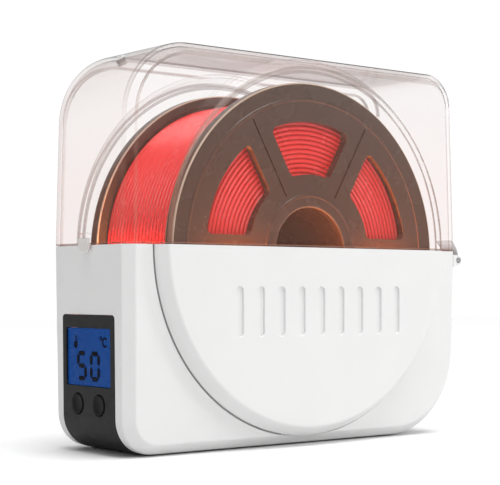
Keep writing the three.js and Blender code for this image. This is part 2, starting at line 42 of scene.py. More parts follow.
# ---- camera and light --------------------------------------------------------------------------------------
CAMERA_PLACE = (-0.5525, -0.67962, 0.09115)
YAW, PITCH, ROLL = math.radians(-38.469), math.radians(1.871), math.radians(0.046)
camera_data = bpy.data.cameras.new("camera")
camera_data.lens, camera_data.sensor_width = 103.2, 36
camera_data.clip_start, camera_data.clip_end = 0.05, 50
camera = bpy.data.objects.new("camera", camera_data)
bpy.context.scene.collection.objects.link(camera)
forward = Vector((-math.sin(YAW) * math.cos(PITCH), math.cos(YAW) * math.cos(PITCH), math.sin(PITCH)))
side_on = Vector((math.cos(YAW), math.sin(YAW), 0))
upward = side_on.cross(forward)
right = side_on * math.cos(ROLL) + upward * math.sin(ROLL)
up = upward * math.cos(ROLL) - side_on * math.sin(ROLL)
turn = Matrix((right, up, -forward)).transposed().to_4x4()
camera.matrix_world = Matrix.Translation(CAMERA_PLACE) @ turn
bpy.context.scene.camera = camera
bpy.context.scene.view_settings.view_transform = "Standard"


def area_light(name, place, target, size, power, colour=(1, 1, 1)):
    """A rectangular lamp at place, aimed at target; size in metres, power in watts."""
    data = bpy.data.lights.new(name, "AREA")
    data.shape, data.energy, data.color = "RECTANGLE", power, colour
    data.size, data.size_y = size
    obj = bpy.data.objects.new(name, data)
    bpy.context.scene.collection.objects.link(obj)
    obj.location = place
    obj.rotation_mode = "QUATERNION"
    obj.rotation_quaternion = (Vector(target) - Vector(place)).to_track_quat("-Z", "Y")
    return obj


# Each lamp: its place, what it is aimed at, its width and height, and its watts.
area_light("key", (0.3, -1.75, 0.9), (0, 0, 0.12), (0.8, 0.6), 8.5, (1.0, 0.998, 0.99))
area_light("rake", (1.75, -0.95, 0.7), (0, 0, 0.1), (0.3, 0.5), 8)
area_light("side", (-1.6, 0.15, 0.5), (-0.1, 0, 0.15), (0.06, 0.6), 2.0)
area_light("left", (-0.9, -0.3, 1.3), (-0.03, 0, 0.18), (0.4, 0.4), 1.2)
fill = area_light("fill", (-0.9, -0.9, 0.9), (0, 0, 0.16), (0.5, 0.5), 3.5)
area_light("back", (0.3, 1.4, 1.1), (0, 0, 0.18), (1.4, 0.9), 2)
sun_data = bpy.data.lights.new("ceiling", "SUN")
sun_data.energy, sun_data.angle = 2.7, math.radians(45)
sun = bpy.data.objects.new("ceiling", sun_data)
bpy.context.scene.collection.objects.link(sun)
sun.rotation_euler = (math.radians(8), math.radians(4), 0)

# The fill lamp falls on the winding alone, and the warm lamps on the spool alone.
warmed = bpy.data.collections.new("warmed")
filled = bpy.data.collections.new("filled")
fill.light_linking.receiver_collection = filled

# The heater's warm glow: slits low in the box that shine upwards, in front of the spool and to its left.
GLOW_Y, GLOW_Z, GLOW_SLIT = -0.0432, 0.098, 0.0016
glow = []
for k, (x, wide, power) in enumerate([(-0.056, 0.04, 0.32), (0.0, 0.03, 0.03), (0.056, 0.04, 0.32)]):
    glow.append(area_light(f"glow_{k}", (x, GLOW_Y, GLOW_Z), (x, GLOW_Y, 0.3), (wide, GLOW_SLIT), power,
                           (1.0, 0.3, 0.05)))
glow.append(area_light("glow_left", (-0.097, 0, 0.088), (-0.097, 0, 0.2), (0.006, 0.06), 0.16,
                       (1.0, 0.5, 0.25)))
for lamp in glow:
    lamp.visible_camera = lamp.visible_transmission = lamp.visible_glossy = False
    lamp.data.cycles.max_bounces = 0
    lamp.light_linking.receiver_collection = warmed

# The backdrop is white where it is seen, straight or through clear plastic, and dimmer as a source of light.
SKY_LIGHT, SKY_SEEN_EXTRA = 0.3, 0.73
world = bpy.data.worlds.new("studio")
world.use_nodes = True
sky = world.node_tree
backdrop = sky.nodes["Background"]
backdrop.inputs["Color"].default_value = (1, 1, 1, 1)
path = sky.nodes.new("ShaderNodeLightPath")


def sky_math(operation, a, b):
    """A math node of the backdrop; a and b are numbers or sockets."""
    n = sky.nodes.new("ShaderNodeMath")
    n.operation = operation
    for socket, value in zip(n.inputs, (a, b)):
        if isinstance(value, (int, float)):
            socket.default_value = value
        else:
            sky.links.new(value, socket)
    return n.outputs[0]


# Seen means before any bounce.
bounced = sky_math("ADD", path.outputs["Diffuse Depth"], path.outputs["Glossy Depth"])
seen = sky_math("MAXIMUM", path.outputs["Is Camera Ray"], path.outputs["Is Transmission Ray"])
seen = sky_math("MULTIPLY", seen, sky_math("LESS_THAN", bounced, 0.5))
strength = sky_math("ADD", sky_math("MULTIPLY", seen, SKY_SEEN_EXTRA), SKY_LIGHT)
sky.links.new(strength, backdrop.inputs["Strength"])
bpy.context.scene.world = world


# ---- dimensions in millimetres -----------------------------------------------------------------------------
# These are the CAD part's, apart from EDGE_SOFT and LID_RIM, which only concern the looks.
LENGTH, DEPTH = 256.0, 79.6
SEAM, TOP, BOTTOM = 115.9, 229.3, 1.0
DRAFT, EDGE, EDGE_SOFT = 0.0155, 5.6, 0.9
TOP_LEFT, TOP_RIGHT, BOTTOM_LEFT, BOTTOM_RIGHT = 44.0, 20.0, 20.0, 52.0
BASE_WALL, LID_WALL = 2.2, 2.2
DISC_Z, DISC_R, DISC_FACE_R, DISC_RISE = 116.3, 110.4, 105.1, 6.9
PANEL_TOP, PANEL_HALF, PANEL_THICK, PANEL_PROUD = 76.8, 26.6, 2.6, 0.3
WINDOW_Z, WINDOW_HALF_Y, WINDOW_HALF_Z = 53.45, 22.4, 15.95
BUTTON_Z, BUTTON_Y, BUTTON_R = 27.3, 10.9, 5.55
SPOOL_Z, SPOOL_R, SPOOL_HALF = 112.8, 100.0, 41.8
FLANGE_THICK, RIM_THICK, HUB_R, CORE_R, WOUND_R = 5.0, 7.4, 26.5, 36.0, 92.3
SPOKE, WINDOW_IN, WINDOW_OUT, WINDOW_CORNER = 9.2, 46.0, 77.0, 3.5
HINGE_X, HINGE_Z, HINGE_PIN, HINGE_Y, HINGE_WIDTH = 131.25, 110.1, 1.5, 27.0, 13.0
LATCH_HALF, LATCH_TOP, LATCH_OUT = 5.0, 3.4, 3.0
OUTLET_ANGLE, LID_RIM = 34, 1.0
GAP = 0.3


# ---- mesh helpers ------------------------------------------------------------------------------------------
# Points nearer than CLOSE are one point. A face narrower than SOFT_WIDTH whose long side bends by between the
# two angles is part of a softened edge.
CLOSE = 1e-7
SOFT_WIDTH, SOFT_BEND_LEAST, SOFT_BEND_MOST = 0.75 * MM, 0.05, 0.55


def half_length(z):
    """Half the body's length at a height; the walls draw in away from the seam."""
    return LENGTH / 2 - DRAFT * abs(z - SEAM)


def half_depth(z):
    """Half the body's depth at a height."""
    return DEPTH / 2 - DRAFT * abs(z - SEAM)


def rounded_loop(corners, steps):
    """Points of a counter-clockwise loop from (u, v, radius) corners, steps to a quarter turn."""
    loop = []
    n = len(corners)
    for i, (x, z, r) in enumerate(corners):
        if r <= 0:
            loop.append((x, z))
            continue
        p = Vector((x, z))
        a = (Vector(corners[i - 1][:2]) - p).normalized()
        b = (Vector(corners[(i + 1) % n][:2]) - p).normalized()
        half = math.acos(max(-1.0, min(1.0, a.dot(b)))) / 2
        centre = p + (a + b).normalized() * (r / math.sin(half))
        start = p + a * (r / math.tan(half)) - centre
        stop = p + b * (r / math.tan(half)) - centre
        t0, t1 = math.atan2(start.y, start.x), math.atan2(stop.y, stop.x)
        sweep = (t1 - t0 + math.pi) % (2 * math.pi) - math.pi
        count = max(2, round(steps * abs(sweep) / (math.pi / 2)))
        for k in range(count + 1):
            t = t0 + sweep * k / count
            loop.append((centre.x + r * math.cos(t), centre.y + r * math.sin(t)))
    return loop


def inset(corners, d):
    """Corners moved inwards by d, their radii reduced alike."""
    n = len(corners)
    lines = []
    for i, (x, z, _) in enumerate(corners):
        nxt = corners[(i + 1) % n]
        u = (Vector(nxt[:2]) - Vector((x, z))).normalized()
        lines.append((Vector((x - u.y * d, z + u.x * d)), u))
    out = []
    for i, (_, _, r) in enumerate(corners):
        (pa, ua), (pb, ub) = lines[i - 1], lines[i]
        cross = ua.x * ub.y - ua.y * ub.x
        t = ((pb.x - pa.x) * ub.y - (pb.y - pa.y) * ub.x) / cross
        radius = r - d if cross > 0 else r + d
        out.append((pa.x + ua.x * t, pa.y + ua.y * t, max(radius, 0.4) if r > 0 else 0))
    return out


def mesh_object(name, verts, faces):
    """An object from points in millimetres, with its faces turned outwards."""
    mesh = bpy.data.meshes.new(name)
    mesh.from_pydata([Vector(v) * MM for v in verts], [], faces)
    mesh.update()
    bm = bmesh.new()
    bm.from_mesh(mesh)
    bmesh.ops.remove_doubles(bm, verts=bm.verts, dist=CLOSE)
    bmesh.ops.recalc_face_normals(bm, faces=bm.faces)
    bm.to_mesh(mesh)
    bm.free()
    obj = bpy.data.objects.new(name, mesh)
    bpy.context.scene.collection.objects.link(obj)
    return obj


def rings_solid(name, rings, place):
    """A closed solid from equal rings of (u, v, depth); place turns each into a point."""
    n = len(rings[0])
    verts = [place(*p) for ring in rings for p in ring]
    faces = [tuple(range(n))[::-1]]
    for k in range(len(rings) - 1):
        a, b = k * n, (k + 1) * n
        for i in range(n):
            j = (i + 1) % n
            faces.append((a + i, a + j, b + j, b + i))
    last = (len(rings) - 1) * n
    faces.append(tuple(range(last, last + n)))
    return mesh_object(name, verts, faces)


def bevel_steps(radius, steps):
    """(inset, depth) pairs of a quarter round, from the flat face outwards."""
    pairs = []
    for k in range(steps + 1):
        t = math.pi / 2 * k / steps
        pairs.append((radius * (1 - math.sin(t)), radius * (1 - math.cos(t))))
    return pairs


def chamfer_steps(size, soft, steps):
    """(inset, depth) pairs of a flat 45 degree edge whose two corners are softened."""
    cut = soft * math.sqrt(0.5)
    pairs = []
    for k in range(steps + 1):
        t = k / steps
        a, b, c = Vector((size + soft, 0)), Vector((size, 0)), Vector((size - cut, cut))
        pairs.append(tuple(a * (1 - t) ** 2 + b * 2 * t * (1 - t) + c * t ** 2))
    return pairs + [(depth, d) for d, depth in reversed(pairs)]


def prism(name, corners, half, bevel, place, steps=8, bevel_count=4):
    """A loop carried from -half to +half along its normal, with rounded rims."""
    rim = bevel_steps(bevel, bevel_count) if bevel > 0 else [(0, 0)]
    return profiled(name, corners, half, rim, place, steps)


def profiled(name, corners, half, rim, place, steps):
    """A loop carried from -half to +half along its normal, both rims shaped by (inset, depth) pairs."""
    rings = []
    for d, depth in rim:
        rings.append([(u, v, -half + depth) for u, v in rounded_loop(inset(corners, d), steps)])
    for ring in reversed(rings[:]):
        rings.append([(u, v, -w) for u, v, w in ring])
    return rings_solid(name, rings, place)


def turned(name, profile, segments, place, closed=False):
    """A profile of (radius, height) turned about an axis; place(x, y, height) sets it in the world."""
    verts, index = [], []
    for r, h in profile:
        if r < 1e-9:
            index.append([len(verts)] * segments)
            verts.append(place(0, 0, h))
        else:
            index.append(list(range(len(verts), len(verts) + segments)))
            for k in range(segments):
                t = 2 * math.pi * k / segments
                verts.append(place(r * math.cos(t), r * math.sin(t), h))
    faces = []
    pairs = list(zip(index, index[1:]))
    if closed:
        pairs.append((index[-1], index[0]))
    for a, b in pairs:
        for k in range(segments):
            j = (k + 1) % segments
            quad = [a[k], a[j], b[j], b[k]]
            face = [v for i, v in enumerate(quad) if v != quad[i - 1]]
            if len(face) > 2:
                faces.append(tuple(face))
    return mesh_object(name, verts, faces)


def along_y(cx, cz):
    """Places a turned shape about an axis along Y through (cx, cz)."""
    return lambda a, b, h: (cx + a, h, cz + b)


def xz(u, v, w):
    """Places a loop drawn in the XZ plane."""
    return (u, w, v)


def xy(u, v, w):
    """Places a loop drawn in the XY plane."""
    return (u, v, w)


def block(name, x0, x1, y0, y1, z0, z1):
    """A plain box between two values on each axis."""
    verts = [(x, y, z) for x in (x0, x1) for y in (y0, y1) for z in (z0, z1)]
    faces = [(0, 1, 3, 2), (4, 6, 7, 5), (0, 4, 5, 1), (2, 3, 7, 6), (0, 2, 6, 4), (1, 5, 7, 3)]
    return mesh_object(name, verts, faces)


def combine(target, tool, operation):
    """Joins, cuts or intersects target with tool, and removes tool."""
    m = target.modifiers.new("combine", "BOOLEAN")
    m.operation, m.object, m.solver = operation, tool, "MANIFOLD"
    graph = bpy.context.evaluated_depsgraph_get()
    result = bpy.data.meshes.new_from_object(target.evaluated_get(graph))
    target.modifiers.remove(m)
    target.data = result
    bpy.data.objects.remove(tool)
    return target


def soften_edges(obj, width):
    """A small rounding on every sharp edge, width in millimetres."""
    m = obj.modifiers.new("edges", "BEVEL")
    m.width, m.segments = width * MM, 2
    m.limit_method, m.angle_limit = "ANGLE", math.radians(50)


def merge_close(mesh):
    """Merges points under a tenth of a micrometre apart, which cuts can leave."""
    bm = bmesh.new()
    bm.from_mesh(mesh)
    bmesh.ops.remove_doubles(bm, verts=bm.verts, dist=CLOSE)
    bmesh.ops.dissolve_degenerate(bm, edges=bm.edges, dist=CLOSE)
    bm.to_mesh(mesh)
    bm.free()


def mark_faces(mesh, name, strength):
    """Stores strength(centre in millimetres, whether the face is part of a softened edge) face by face."""
    bm = bmesh.new()
    bm.from_mesh(mesh)
    marks = []
    for face in bm.faces:
        soft = False
        for edge in face.edges:
            if len(edge.link_faces) == 2 and SOFT_BEND_LEAST < edge.calc_face_angle() < SOFT_BEND_MOST:
                a, b = (v.co for v in edge.verts)
                way = (b - a).normalized()
                if max(((v.co - a) - way * (v.co - a).dot(way)).length for v in face.verts) < SOFT_WIDTH:
                    soft = True
        marks.append(strength(face.calc_center_median() / MM, soft))
    bm.free()
    mesh.attributes.new(name, "FLOAT", "FACE").data.foreach_set("value", marks)


def finish_piece(obj, body, material, replaces, angle=32, weighted=True):
    """Smooth shading with crisp creases, a material, and the CAD body the piece rides on."""
    mesh = obj.data
    merge_close(mesh)
    mesh.materials.clear()
    mesh.materials.append(material)
    for p in mesh.polygons:
        p.use_smooth = True
        p.material_index = 0
    mesh.set_sharp_from_angle(angle=math.radians(angle))
    if weighted:
        m = obj.modifiers.new("normals", "WEIGHTED_NORMAL")
        m.keep_sharp, m.weight = True, 60
    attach(obj, body)
    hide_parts(*replaces)


# ---- materials ---------------------------------------------------------------------------------------------
def node(tree, kind, **values):
    """A shader node; each value sets the input socket of that name, or else the node's own setting."""
    n = tree.nodes.new(kind)
    for key, value in values.items():
        if key in n.inputs:
            n.inputs[key].default_value = value
        else:
            setattr(n, key, value)
    return n


def new_material(name):
    """A material with its node tree, its object coordinates and its one shader."""
    m = bpy.data.materials.new(name)
    m.use_nodes = True
    tree = m.node_tree
    tree.nodes.clear()
    shader = node(tree, "ShaderNodeBsdfPrincipled")
    out = node(tree, "ShaderNodeOutputMaterial")
    tree.links.new(shader.outputs[0], out.inputs["Surface"])
    coords = node(tree, "ShaderNodeTexCoord").outputs["Object"]
    return m, tree, coords, shader


def noise(tree, coords, scale, detail):
    """Smooth noise around 0.5; a larger scale is finer."""
    n = node(tree, "ShaderNodeTexNoise", Scale=scale, Detail=detail, Roughness=0.55)
    tree.links.new(coords, n.inputs["Vector"])
    return n.outputs["Fac"]


def span(tree, value, low, high, from_low=0.3, from_high=0.7):
    """Carries value from the range from_low to from_high over to low to high."""
    n = node(tree, "ShaderNodeMapRange")
    n.inputs["From Min"].default_value = from_low
    n.inputs["From Max"].default_value = from_high
    n.inputs["To Min"].default_value = low
    n.inputs["To Max"].default_value = high
    tree.links.new(value, n.inputs["Value"])
    return n.outputs["Result"]


def mixed(tree, factor, a, b):
    """A colour between a and b, each of them a colour or a socket."""
    n = node(tree, "ShaderNodeMix", data_type="RGBA")
    tree.links.new(factor, n.inputs["Factor"])
    for socket, value in zip([s for s in n.inputs if s.type == "RGBA"], (a, b)):
        if isinstance(value, tuple):
            socket.default_value = (*value, 1)
        else:
            tree.links.new(value, socket)
    return next(s for s in n.outputs if s.type == "RGBA")


def drifting(tree, drift, colour, change):
    """A colour that drifts towards itself times change."""
    return mixed(tree, drift, colour, tuple(c * change for c in colour))


def roughen(tree, shader, height, strength, distance):
    """Fine relief on a shader, from a height."""
    bump = node(tree, "ShaderNodeBump", Strength=strength, Distance=distance)
    tree.links.new(height, bump.inputs["Height"])
    tree.links.new(bump.outputs["Normal"], shader.inputs["Normal"])


def plastic(name, colour, rough=(0.3, 0.4), grain=900.0, depth=0.05, shade=0.05, specular=0.5, metal=0.0,
            subsurface=0.0, coat=0.0, patch=30.0, painted_light=None):
    """Moulded plastic or metal, with a little colour drift, uneven gloss, a fine grain and a painted light
    colour where marked.
    """
    m, tree, coords, shader = new_material(name)
    drift = span(tree, noise(tree, coords, patch, 4.0), 0.0, 1.0)
    low = tuple(c * (1 - shade) for c in colour)
    high = tuple(min(1.0, c * (1 + shade)) for c in colour)
    tint = mixed(tree, drift, low, high)
    # Marked faces and points turn towards the painted light colour: painted shade on some materials, a
    # painted highlight on others.
    if painted_light:
        mark = node(tree, "ShaderNodeAttribute", attribute_name="painted_light").outputs["Fac"]
        tint = mixed(tree, mark, tint, painted_light)
    tree.links.new(tint, shader.inputs["Base Color"])
    tree.links.new(span(tree, noise(tree, coords, patch * 6, 5.0), *rough), shader.inputs["Roughness"])
    roughen(tree, shader, noise(tree, coords, grain, 2.0), depth, 0.0002)
    shader.inputs["Specular IOR Level"].default_value = specular
    shader.inputs["Metallic"].default_value = metal
    shader.inputs["Coat Weight"].default_value = coat
    if subsurface:
        shader.inputs["Subsurface Weight"].default_value = subsurface
        shader.inputs["Subsurface Radius"].default_value = (1.0, 0.5, 0.4)
        shader.inputs["Subsurface Scale"].default_value = 0.002
    return m


def clear_plastic(name, tint, edge, cover, edge_cover, gloss=0.45, marked=False, upper=None):
    """Clear plastic: faintly tinted, darker seen along its surface, with painted shade where marked and a
    greyer painted shade high up.

    cover and edge_cover are how much it hides seen straight on and along its surface.
    """
    m, tree, coords, shader = new_material(name)
    facing = node(tree, "ShaderNodeLayerWeight", Blend=0.5).outputs["Facing"]
    along = node(tree, "ShaderNodeMath", operation="POWER")
    along.inputs[1].default_value = 4.0
    tree.links.new(facing, along.inputs[0])
    share = along.outputs[0]
    # Painted shade on marked faces.
    if marked:
        mark = node(tree, "ShaderNodeAttribute", attribute_name="painted_shade_mark")
        both = node(tree, "ShaderNodeMath", operation="MULTIPLY_ADD", use_clamp=True)
        both.inputs[1].default_value = 0.9
        tree.links.new(mark.outputs["Fac"], both.inputs[0])
        tree.links.new(share, both.inputs[2])
        share = both.outputs[0]
    drift = span(tree, noise(tree, coords, 18.0, 5.0), 0.0, 1.0)
    body = drifting(tree, drift, tint, 0.96)
    # Painted shade: a greyer tint high up on the lid.
    if upper:
        apart = node(tree, "ShaderNodeSeparateXYZ")
        tree.links.new(coords, apart.inputs[0])
        body = mixed(tree, span(tree, apart.outputs["Z"], 0.0, 1.0, *TOP_SHADE_FROM_TO), body, upper)
    tree.links.new(mixed(tree, share, body, edge), shader.inputs["Base Color"])
    tree.links.new(span(tree, share, cover, edge_cover, 0.0, 1.0), shader.inputs["Alpha"])
    tree.links.new(span(tree, noise(tree, coords, 55.0, 4.0), 0.05, 0.1), shader.inputs["Roughness"])
    roughen(tree, shader, noise(tree, coords, 22.0, 1.0), 0.04, 0.0005)
    shader.inputs["Specular IOR Level"].default_value = gloss
    shader.inputs["Coat Weight"].default_value = 0.5 * gloss
    shader.inputs["Coat Roughness"].default_value = 0.05
    return m


def glowing(name, colour, strength, base):
    """A lit display: its light drifts a little from place to place."""
    m, tree, coords, shader = new_material(name)
    drift = span(tree, noise(tree, coords, 45.0, 2.0), 0.0, 1.0)
    tree.links.new(drifting(tree, drift, colour, 0.9), shader.inputs["Emission Color"])
    tree.links.new(drifting(tree, drift, base, 0.9), shader.inputs["Base Color"])
    shader.inputs["Emission Strength"].default_value = strength
    shader.inputs["Specular IOR Level"].default_value = 0.08
    tree.links.new(span(tree, noise(tree, coords, 700.0, 2.0), 0.25, 0.35), shader.inputs["Roughness"])
    return m


# The lid's warm tint fades into a greyer painted shade high up, between these heights in metres.
TOP_SHADE_FROM_TO = (0.15, 0.225)
# The last colours of WHITE, SPOOL and FILAMENT are painted light: shade in the groove round the disc's foot,
# a highlight on the spool's softened edges, and shade between the rows of filament.
WHITE = plastic("white_plastic", (0.8, 0.8, 0.798), rough=(0.32, 0.42), depth=0.03, shade=0.012, specular=0.4,
                painted_light=(0.3, 0.3, 0.3))
BLACK = plastic("black_plastic", (0.015, 0.015, 0.016), rough=(0.4, 0.5), depth=0.1, shade=0.12, specular=0.2)
DARK_BUTTON = plastic("button_plastic", (0.005, 0.005, 0.0055), rough=(0.4, 0.5), depth=0.08, shade=0.1,
                      specular=0.12)
RUBBER = plastic("rubber", (0.02, 0.02, 0.02), rough=(0.7, 0.85), depth=0.25, shade=0.15, specular=0.3)
SPOOL = plastic("spool_plastic", (0.066, 0.037, 0.026), rough=(0.25, 0.29), depth=0.015, coat=0.2, patch=9.0,
                painted_light=(0.62, 0.47, 0.36))
FILAMENT = plastic("filament", (1.0, 0.024, 0.03), rough=(0.2, 0.3), grain=2500.0, depth=0.02, shade=0.06,
                   specular=0.6, patch=12.0, painted_light=(0.42, 0.004, 0.006))
SEAL = plastic("seal_silicone", (0.3, 0.29, 0.28), rough=(0.6, 0.75), depth=0.1, shade=0.08, specular=0.3)
RING = plastic("ring_silicone", (0.66, 0.65, 0.64), rough=(0.5, 0.65), depth=0.1, shade=0.06, specular=0.3)
STEEL = plastic("plated_steel", (0.6, 0.6, 0.61), rough=(0.22, 0.38), grain=3000, depth=0.08, shade=0.06,
                metal=1.0)
PLATE = plastic("heat_plate", (0.72, 0.73, 0.74), rough=(0.3, 0.48), grain=1600, depth=0.1, shade=0.06,
                metal=1.0)
FILM = plastic("heater_film", (0.55, 0.2, 0.03), rough=(0.2, 0.35), depth=0.1, shade=0.2, coat=0.4)
ROLLER = plastic("roller_plastic", (0.05, 0.05, 0.053), rough=(0.5, 0.65), depth=0.1, shade=0.1)
BOARD = plastic("board_mask", (0.02, 0.16, 0.055), rough=(0.3, 0.45), grain=500, depth=0.2, shade=0.25,
                patch=160)
CHIP = plastic("component_body", (0.015, 0.015, 0.016), rough=(0.4, 0.55), depth=0.1, shade=0.1)
CREAM = plastic("connector_nylon", (0.72, 0.68, 0.52), rough=(0.4, 0.55), depth=0.08, shade=0.06,
                subsurface=0.1)
LEAD = plastic("lead_sheath", (0.02, 0.02, 0.022), rough=(0.45, 0.6), depth=0.1, shade=0.1)
MODULE = plastic("module_frame", (0.03, 0.03, 0.034), rough=(0.35, 0.5), depth=0.08, shade=0.1)
INK = plastic("display_segment", (0.003, 0.004, 0.008), rough=(0.4, 0.5), shade=0.1, specular=0.05)
DISPLAY = glowing("display_backlight", (0.001, 0.053, 0.257), 0.85, (0.002, 0.006, 0.02))
# The lid's dark second colour is painted shade on its marked edges and rims, and its upper tint is painted
# shade high up.
CLEAR = clear_plastic("clear_lid", (0.85, 0.42, 0.3), (0.012, 0.01, 0.009), 0.045, 0.8, marked=True,
                      upper=(0.62, 0.5, 0.45))
CLEAR_SMALL = clear_plastic("clear_small", (0.93, 0.91, 0.89), (0.05, 0.045, 0.042), 0.7, 0.9)
CLEAR_HOOK = clear_plastic("clear_hook", (0.6, 0.58, 0.57), (0.05, 0.045, 0.042), 0.15, 0.9, marked=True)
PANE = clear_plastic("display_pane", (0.03, 0.035, 0.04), (0.05, 0.055, 0.06), 0.02, 0.1, gloss=0.08)

# ---- housings ----------------------------------------------------------------------------------------------
# Steps to a quarter turn of a corner, steps round a disc, and how far each half runs past the seam before it
# is cut there.
FINE, ROUND_STEPS, PAST_SEAM = 20, 256, 25
CHEEK_HALF, HOOK_THICK, HOOK_CURL = 1.25, 1.15, 2.35


def half_body(name, upper, wall):
    """The solid of the base or the lid, wall inside its outer face, running on past the seam."""
    z_seam = SEAM - PAST_SEAM if upper else SEAM + PAST_SEAM
    z_end = TOP if upper else BOTTOM
    far, near = half_length(z_end), LENGTH / 2 + DRAFT * PAST_SEAM
    if upper:
        corners = [(-near, z_seam, 0), (near, z_seam, 0),
                   (far, z_end, TOP_RIGHT), (-far, z_end, TOP_LEFT)]
    else:
        corners = [(-far, z_end, BOTTOM_LEFT), (far, z_end, BOTTOM_RIGHT),
                   (near, z_seam, 0), (-near, z_seam, 0)]
    half = DEPTH / 2

    def place(u, v, w):
        rise = v - SEAM if upper else SEAM - v
        return (u, w * (1 - DRAFT * rise / half), v)

    rim = chamfer_steps(EDGE - wall * (2 - math.sqrt(2)), EDGE_SOFT, 4)
    return profiled(name, inset(corners, wall), half - wall, rim, place, FINE)


def disc(name, wall):
    """The raised discs of both faces as one solid, with a softened rim and a sloping side."""
    face, foot = DEPTH / 2 + DISC_RISE - wall, DEPTH / 2 - wall
    r, foot_r = DISC_FACE_R - wall, DISC_R - wall
    slope = Vector((foot_r - r, -(face - foot))).normalized()
    soft, steps = 1.3, 6
    rim = []
    for k in range(steps + 1):
        t = k / steps
        a, b = Vector((r - soft, face)), Vector((r, face))
        c = b + slope * soft
        p = a * (1 - t) ** 2 + b * 2 * t * (1 - t) + c * t ** 2
        rim.append((p.x, p.y))
    front = [(0, -face)] + [(u, -v) for u, v in rim] + [(foot_r, -foot)]
    rear = [(foot_r, foot)] + rim[::-1] + [(0, face)]
    return turned(name, front + rear, ROUND_STEPS, along_y(0, DISC_Z))


def shell(name, upper, wall):
    """The hollow base or lid, cut off at the seam."""
    outer = combine(half_body(name, upper, 0), disc("outer_disc", 0), "UNION")
    inner = combine(half_body("hollow", upper, wall), disc("inner_disc", wall), "UNION")
    z0, z1 = (SEAM + 0.2, TOP + 5) if upper else (-5, SEAM - 0.3)
    combine(outer, inner, "DIFFERENCE")
    return combine(outer, block("half", -200, 200, -80, 80, z0, z1), "INTERSECT")


def seam_corners():
    """The outline of the body and its discs at the seam."""
    x, y, e = LENGTH / 2, DEPTH / 2, EDGE
    f = y + DISC_RISE
    half = [(-x, -y + e, 1), (-x + e, -y, 1), (-DISC_R, -y, 0), (-DISC_FACE_R, -f, 0), (DISC_FACE_R, -f, 0),
            (DISC_R, -y, 0), (x - e, -y, 1), (x, -y + e, 1)]
    return half + [(-u, -v, r) for u, v, r in half]


def seam_ring(name, d_out, d_in, z0, z1):
    """A ring that follows the seam, between two insets from the outline."""
    def level(d, z):
        return [(u, v, z) for u, v in rounded_loop(inset(seam_corners(), d), 6)]
    outer = rings_solid(name, [level(d_out, z0), level(d_out, z1)], xy)
    inner = rings_solid("ring_hollow", [level(d_in, z0 - 1), level(d_in, z1 + 1)], xy)
    return combine(outer, inner, "DIFFERENCE")


def foot_place(a, b, h):
    """Places the groove round the disc's foot, which follows the wall as it draws in downwards."""
    return (a, h * half_depth(DISC_Z + min(b, 0)) / (DEPTH / 2), DISC_Z + b)


def groove_painted_shade(place, soft):
    """Painted shade in the bottom of the groove round the disc's foot."""
    x, y, z = place
    inside = z > BOTTOM + EDGE + 0.6 and half_depth(z) - 1.4 < abs(y) < half_depth(z) - 0.04
    return 0.6 if inside and DISC_R - 0.3 < math.hypot(x, z - DISC_Z) < DISC_R + 1.2 else 0.0


base = shell("housing_lower", False, BASE_WALL)
combine(base, seam_ring("seam_groove", 0.85, 1.95, SEAM - 2.1, SEAM + 1), "DIFFERENCE")
seal = seam_ring("seam_ring", 1.1, 1.7, SEAM - 1.9, SEAM - 0.1)
finish_piece(seal, "base", SEAL, ["seam_seal"])

# A fine groove round the foot of each disc.
for face in (-1, 1):
    y = DEPTH / 2
    line = [(DISC_R - 0.1, face * (y - 1.1)), (DISC_R + 0.7, face * (y - 1.1)),
            (DISC_R + 1.0, face * (y + 0.3)), (DISC_R - 0.1, face * (y + 0.3))]
    combine(base, turned("foot_groove", line, ROUND_STEPS, foot_place, True), "DIFFERENCE")

# The catch on the left end, which the latch tongue hangs in front of.
catch = [(-3.5, SEAM - 4.6, 0.9), (3.5, SEAM - 4.6, 0.9), (3.5, SEAM - 2.6, 0.9), (-3.5, SEAM - 2.6, 0.9)]
combine(base, prism("catch", catch, 1.15, 0.5, lambda u, v, w: (-LENGTH / 2 + 0.35 + w, u, v)), "UNION")

# A pair of cheeks beside each hinge hook, the bore for their pins, and the hole of the power inlet.
cheek = [(LENGTH / 2 - 1.5, HINGE_Z - 4.6, 0), (HINGE_X, HINGE_Z - 2.9, 2.0),
         (HINGE_X + 2.9, HINGE_Z - 2.5, 2.0), (HINGE_X + 2.9, HINGE_Z + 2.5, 2.0),
         (HINGE_X - 1, HINGE_Z + 3.2, 1.5), (LENGTH / 2 - 1.5, HINGE_Z + 3.4, 0)]
for side in (-1, 1):
    for face in (-1, 1):
        y = side * HINGE_Y + face * (HINGE_WIDTH / 2 + GAP + CHEEK_HALF)
        combine(base, prism("cheek", cheek, CHEEK_HALF, 0.35, lambda u, v, w, y=y: (u, y + w, v)), "UNION")
bore = HINGE_PIN + GAP
combine(base, turned("bore", [(0, -60), (bore, -60), (bore, 60), (0, 60)], 32, along_y(HINGE_X, HINGE_Z)),
        "DIFFERENCE")
combine(base, turned("inlet", [(0, 30), (6.2, 30), (6.2, 50), (0, 50)], 48, along_y(-104, 30)), "DIFFERENCE")

